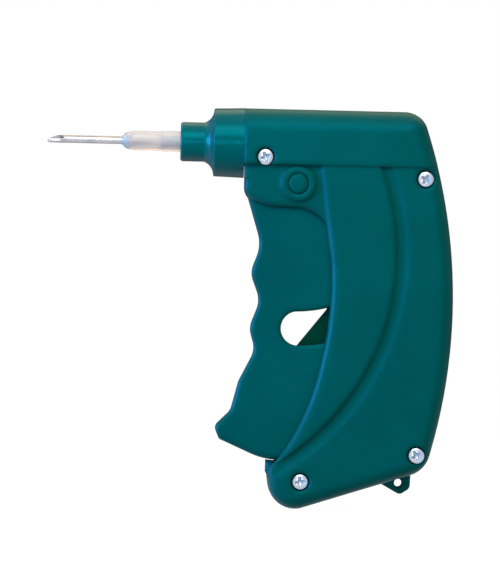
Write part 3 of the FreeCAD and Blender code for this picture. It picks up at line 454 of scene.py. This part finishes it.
def screw_points(turn):
    """Points of one screw along +Y from the head's top, at Y = -HEAD_HIGH, and its number of rings.

    The head's radius goes from 0 to HEAD_R and its top falls as the fourth power of the radius,
    then its edge rounds down to the seat. The cross is cut in the top: along each of its two arms
    the depth falls in a curve from the middle to the reach, with steep walls at the arm's half
    width. On the shank the radius grows by a sharpened wave of the angle less the turns made.
    """
    angle = np.linspace(0, 2 * np.pi, AROUND, endpoint=False)
    r, a = np.meshgrid(np.concatenate([CROSS_RINGS, DOME_RINGS]), angle, indexing="ij")
    crown = -HEAD_HIGH + CROWN_FALL * (r / HEAD_R) ** 4
    cross = np.zeros_like(r)
    for arm in (0.0, np.pi / 2):
        along = np.abs(r * np.cos(a - turn - arm))
        aside = np.abs(r * np.sin(a - turn - arm))
        width = CROSS_HALF * (1.15 - 0.35 * along / CROSS_REACH)
        wall = 1 - eased(aside, width * 0.72, width * 1.12)
        depth = np.clip((CROSS_REACH - along) / CROSS_REACH, 0, 1) ** 0.55
        cross = np.maximum(cross, wall * depth)
    top = np.stack([r * np.cos(a), crown + CROSS_DEEP * cross, r * np.sin(a)], axis=-1)
    edge_r, edge_y = HEAD_EDGE.T
    edge = np.stack([
        np.outer(edge_r, np.cos(angle)),
        np.repeat(edge_y[:, None], AROUND, 1),
        np.outer(edge_r, np.sin(angle)),
    ], axis=-1)
    y, a = np.meshgrid(SHANK_RINGS, angle, indexing="ij")
    crest = np.abs(((y / THREAD_PITCH - a / (2 * np.pi)) % 1.0) - 0.5) * 2
    taper = 1 - eased(y, SCREW_LENGTH - POINT_LENGTH, SCREW_LENGTH) * 0.8
    thread = THREAD_DEEP * crest ** 1.6 * eased(y, *THREAD_START)
    r = (SHANK_R - THREAD_DEEP + thread) * taper
    shank = np.stack([r * np.cos(a), y, r * np.sin(a)], axis=-1)
    rings = np.concatenate([top, edge, shank])
    middle = [[0, -HEAD_HIGH + CROSS_DEEP, 0]]
    return np.concatenate([middle, rings.reshape(-1, 3), [[0, SCREW_LENGTH, 0]]]), len(rings)


def solid(name, points, faces, material, body, slot):
    """A new piece from its points and faces, shaded smooth, riding on a body."""
    mesh = bpy.data.meshes.new(name)
    mesh.from_pydata(points.tolist(), [], faces)
    mesh.polygons.foreach_set("use_smooth", np.ones(len(mesh.polygons), bool))
    mesh.update()
    piece = bpy.data.objects.new(name, mesh)
    bpy.context.scene.collection.objects.link(piece)
    mesh.materials.append(material)
    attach(piece, body)
    return piece


def zinc_plate():
    """Bright zinc: cold blue and warm pale thin-film patches, and painted dark shade in the cross.
    """
    made, tree, shader = new_material("screw_bright_zinc")
    at = object_place(tree)
    film = spread(tree, noise(tree, at, 700.0, 2.0), 0.35, 0.65)
    tint = blend(tree, film, ZINC_COLD, ZINC_WARM)
    # Painted shade: where ambient occlusion finds the cross recess, the zinc turns dark blue.
    cavity = add(tree, "ShaderNodeAmbientOcclusion", {"samples": 4}, Distance=CROSS_SHADE_REACH)
    unshaded = spread(tree, cavity.outputs["AO"], 0.45, 0.97)
    rough = spread(tree, noise(tree, at, 2500.0, 3.0), 0.3, 0.7, 0.24, 0.40)
    bump = add(
        tree, "ShaderNodeBump", Strength=0.25, Distance=0.00001, Height=noise(tree, at, 5000.0, 2.0)
    )
    feed(
        tree, shader, Base_Color=blend(tree, unshaded, CROSS_PAINTED_SHADE, tint), Roughness=rough,
        Normal=bump.outputs["Normal"], Metallic=1.0,
    )
    return made


all_points, all_faces, start = [], [], 0
for x, z, seat, turn in SCREWS:
    points, rings = screw_points(turn)
    all_points.append(points + [x, seat, z])
    all_faces += [tuple(i + start for i in face) for face in revolved_faces(rings, AROUND)]
    start += len(points)
all_points = np.concatenate(all_points)
screws = solid("cross_recess_screws", all_points, all_faces, zinc_plate(), "body", "screw_zinc")
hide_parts("shell_screws")

# Return spring
# A compression spring of drawn wire round the rod, from the guide bush to the carriage's washer,
# with a closed coil at each end. In the tool it shortens as the carriage comes forward; here it is
# built at rest.

SPRING_FRONT, SPRING_REAR = 0.053428, 0.113828  # its ends along X at rest
SPRING_MEAN_R = 0.00205
SPRING_WIRE_R = 0.00017
SPRING_COILS = 13
WIRE_AROUND = 12
WIRE_GREY, WIRE_STAIN = (0.46, 0.46, 0.47), (0.34, 0.33, 0.31)
END_PITCH = 2.2 * SPRING_WIRE_R  # a closed coil's pitch is little more than the wire


def coil():
    """Points and faces of a round wire on a helix about X. Its first and last turns are closed."""
    length = SPRING_REAR - SPRING_FRONT - 2 * SPRING_WIRE_R
    turns = np.linspace(0, SPRING_COILS, 40 * SPRING_COILS + 1)
    turn_at = [0, 1, SPRING_COILS - 1, SPRING_COILS]
    angle = 2 * np.pi * turns
    out = np.stack([0 * angle, np.cos(angle), np.sin(angle)], axis=-1)
    centre = SPRING_MEAN_R * out
    centre[:, 0] = np.interp(turns, turn_at, [0, END_PITCH, length - END_PITCH, length])
    centre[:, 0] += SPRING_FRONT + SPRING_WIRE_R
    ahead = np.gradient(centre, axis=0)
    ahead /= np.linalg.norm(ahead, axis=1)[:, None]
    aside = np.cross(out, ahead)
    a = np.linspace(0, 2 * np.pi, WIRE_AROUND, endpoint=False)[None, :, None]
    section = np.cos(a) * out[:, None] + np.sin(a) * aside[:, None]
    rings = centre[:, None] + SPRING_WIRE_R * section
    points = np.concatenate([centre[:1], rings.reshape(-1, 3), centre[-1:]])
    return points, revolved_faces(len(rings), WIRE_AROUND)


spring_steel = metal(
    "spring_wire", WIRE_GREY, WIRE_STAIN, roughness=0.35, stretch=(3000.0, 3000.0, 3000.0)
)
spring = solid("coiled_return_spring", *coil(), spring_steel, "body", "spring_steel")
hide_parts("return_spring")
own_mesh(spring)

# Needle
# A thin-walled stainless tube, drawn and polished, with its mouth ground to a slanting bevel. The
# grinding leaves short lines across the bevel.

NEEDLE_GREY, NEEDLE_STAIN = (0.48, 0.46, 0.49), (0.38, 0.37, 0.40)
needle_steel = metal(
    "needle_stainless", NEEDLE_GREY, NEEDLE_STAIN, roughness=0.33,
    stretch=(30.0, 6000.0, 6000.0), depth=0.000003,
)
dress("needle_cannula", needle_steel)

# Needle hub and glue
# The hub is moulded in milky clear plastic, through which the cone, the rod and the glue show.
# The glue is a bluish resin that has set in the front well.

HUB_MILK = (0.93, 0.82, 0.78)
GLUE_BLUE = (0.58, 0.60, 0.62)
MILK_SHADE = 0.90  # the clouds' darker end
FLOW = (120.0, 500.0, 500.0)  # clouds left by the plastic's flow along X


def clear_plastic(name, colour, roughness, through, ior):
    """A milky clear plastic: a share of light goes through, and flow clouds change its colour."""
    made, tree, shader = new_material(name)
    at = object_place(tree)
    flow = noise(tree, stretched(tree, at, FLOW), 1.0, 3.0)
    milky = tuple(MILK_SHADE * c for c in colour)
    rough = spread(
        tree, noise(tree, at, 900.0, 2.0), 0.3, 0.7, roughness - 0.05, roughness + 0.05
    )
    bump = add(tree, "ShaderNodeBump", Strength=0.2, Distance=0.000003, Height=flow)
    feed(
        tree, shader, Roughness=rough, Normal=bump.outputs["Normal"],
        Base_Color=blend(tree, spread(tree, flow, 0.3, 0.7), (*milky, 1), (*colour, 1)),
        Transmission_Weight=through, IOR=ior,
    )
    return made


hub_plastic = clear_plastic("hub_milky_clear", HUB_MILK, roughness=0.10, through=0.60, ior=1.36)
dress("needle_hub", hub_plastic)
glue = clear_plastic("glue_bluish_resin", GLUE_BLUE, roughness=0.30, through=0.30, ior=1.50)
dress("needle_adhesive", glue)

# Floor
# A plain matt white sheet under the tool. It keeps the soft shadow and throws little light back up,
# so the tool is darker towards its foot.

FLOOR_Z = cad_box[0].z - 0.0004
FLOOR_HALF = 3
FLOOR_BOUNCE = (0.24, 0.24, 0.24, 1)
FLOOR_GLOW = 0.94
MIRRORED_NEAR, MIRRORED_FAR = 1.0, 0.10


def seen_white(tree, path):
    """One for a ray from the camera or through clear plastic, which see all round at full white."""
    return reckon(tree, "MAXIMUM", path["Is Camera Ray"], path["Is Transmission Ray"])


def floor_material():
    """Matt white for the camera and clear plastic. Metal mirrors it white near, greyer far off."""
    made, tree, shader = new_material("floor_matt_white")
    path = add(tree, "ShaderNodeLightPath").outputs
    seen = seen_white(tree, path)
    away = along_y(tree, object_place(tree))
    fading = spread(tree, away, -0.05, 0.25, MIRRORED_NEAR, MIRRORED_FAR)
    mirrored = reckon(tree, "MULTIPLY", path["Is Glossy Ray"], fading)
    glow = reckon(tree, "MULTIPLY", reckon(tree, "MAXIMUM", seen, mirrored), FLOOR_GLOW)
    feed(
        tree, shader, Base_Color=FLOOR_BOUNCE, Roughness=0.9, Specular_IOR_Level=0.0,
        Emission_Color=(1, 1, 1, 1), Emission_Strength=glow,
    )
    return made


corners = np.array([[-1, -1], [1, -1], [1, 1], [-1, 1]], float) * FLOOR_HALF
floor_mesh = bpy.data.meshes.new("floor")
floor_points = np.column_stack([corners, np.full(4, FLOOR_Z)])
floor_mesh.from_pydata(floor_points.tolist(), [], [(0, 1, 2, 3)])
floor_mesh.materials.append(floor_material())
floor = bpy.data.objects.new("floor", floor_mesh)
bpy.context.scene.collection.objects.link(floor)

# Studio light
# A pale surround lights the tool at about a third of full white. Metal sees it white in front and
# greyer behind. A soft lamp stands above in front, a cool one far to the left, a warm one behind
# the top, and a small one far in front, whose reflection is the fine line on the nose.

MIDDLE = (0.075, 0.0, -0.055)
UPPER = (0.07, 0.0, -0.03)
FRONT_LIGHT, REAR_LIGHT = 0.33, 0.28
FRONT_MIRRORED, REAR_MIRRORED = 1.0, 0.12
LAMPS = [  # name, place, what it faces, width, height, watts and colour
    ("front_lamp", (0.06, -0.34, 0.27), UPPER, 0.30, 0.26, 1.25, (1.0, 1.0, 0.90)),
    ("cool_side_lamp", (-0.88, -0.26, 0.10), MIDDLE, 0.6, 0.42, 15.0, (0.10, 0.50, 1.0)),
    ("warm_top_lamp", (0.10, 0.30, 0.45), MIDDLE, 0.8, 0.3, 1.3, (1.0, 0.72, 0.32)),
    ("window", (0.02, -1.20, -0.01), MIDDLE, 0.16, 0.06, 0.9, (0.9, 0.97, 1.0)),
]

world = bpy.data.worlds.new("studio")
bpy.context.scene.world = world
world.use_nodes = True
tree = world.node_tree
path = add(tree, "ShaderNodeLightPath").outputs
toward = along_y(tree, add(tree, "ShaderNodeTexCoord").outputs["Generated"])
mirrored = spread(tree, toward, -0.2, 0.9, FRONT_MIRRORED, REAR_MIRRORED)
around = spread(tree, toward, -0.9, 0.6, FRONT_LIGHT, REAR_LIGHT)
level = add(tree, "ShaderNodeMix", i0=path["Is Glossy Ray"], i2=around, i3=mirrored).outputs[0]
level = add(tree, "ShaderNodeMix", i0=seen_white(tree, path), i2=level, i3=1.0).outputs[0]
feed(tree, tree.nodes["Background"], Color=(1, 1, 1, 1), Strength=level)

for name, place, target, width, height, watts, colour in LAMPS:
    light = bpy.data.lights.new(name, "AREA")
    light.shape = "RECTANGLE"
    light.size, light.size_y = width, height
    light.energy = watts
    light.color = colour
    lamp = bpy.data.objects.new(name, light)
    lamp.location = place
    lamp.rotation_mode = "QUATERNION"
    lamp.rotation_quaternion = (Vector(target) - Vector(place)).to_track_quat("-Z", "Y")
    lamp.visible_camera = False
    bpy.context.scene.collection.objects.link(lamp)

# Camera
# It stands 1.6 m from the tool with a long lens, a touch to the left and below, and is rolled a
# little.

AIM = Vector((0.06835, 0.0, -0.05312))
AZIMUTH, ELEVATION, ROLL = math.radians(-0.8), math.radians(-0.6), math.radians(1.33)
DISTANCE = 1.6
PIXEL = 0.0003620  # metres at the tool
IMAGE_HEIGHT = 580
SENSOR = 36.0

back = Vector((
    math.sin(AZIMUTH) * math.cos(ELEVATION),
    -math.cos(AZIMUTH) * math.cos(ELEVATION),
    math.sin(ELEVATION),
))
camera_data = bpy.data.cameras.new("camera")
camera_data.sensor_width = SENSOR
camera_data.lens = SENSOR * DISTANCE / (IMAGE_HEIGHT * PIXEL)
camera_data.clip_start, camera_data.clip_end = 0.01, 20.0
camera = bpy.data.objects.new("camera", camera_data)
camera.location = AIM + back * DISTANCE
camera.rotation_mode = "QUATERNION"
facing = (-back).to_track_quat("-Z", "Y").to_matrix() @ Matrix.Rotation(ROLL, 3, "Z")
camera.rotation_quaternion = facing.to_quaternion()
bpy.context.scene.collection.objects.link(camera)
bpy.context.scene.camera = camera
bpy.context.scene.view_settings.view_transform = "Standard"
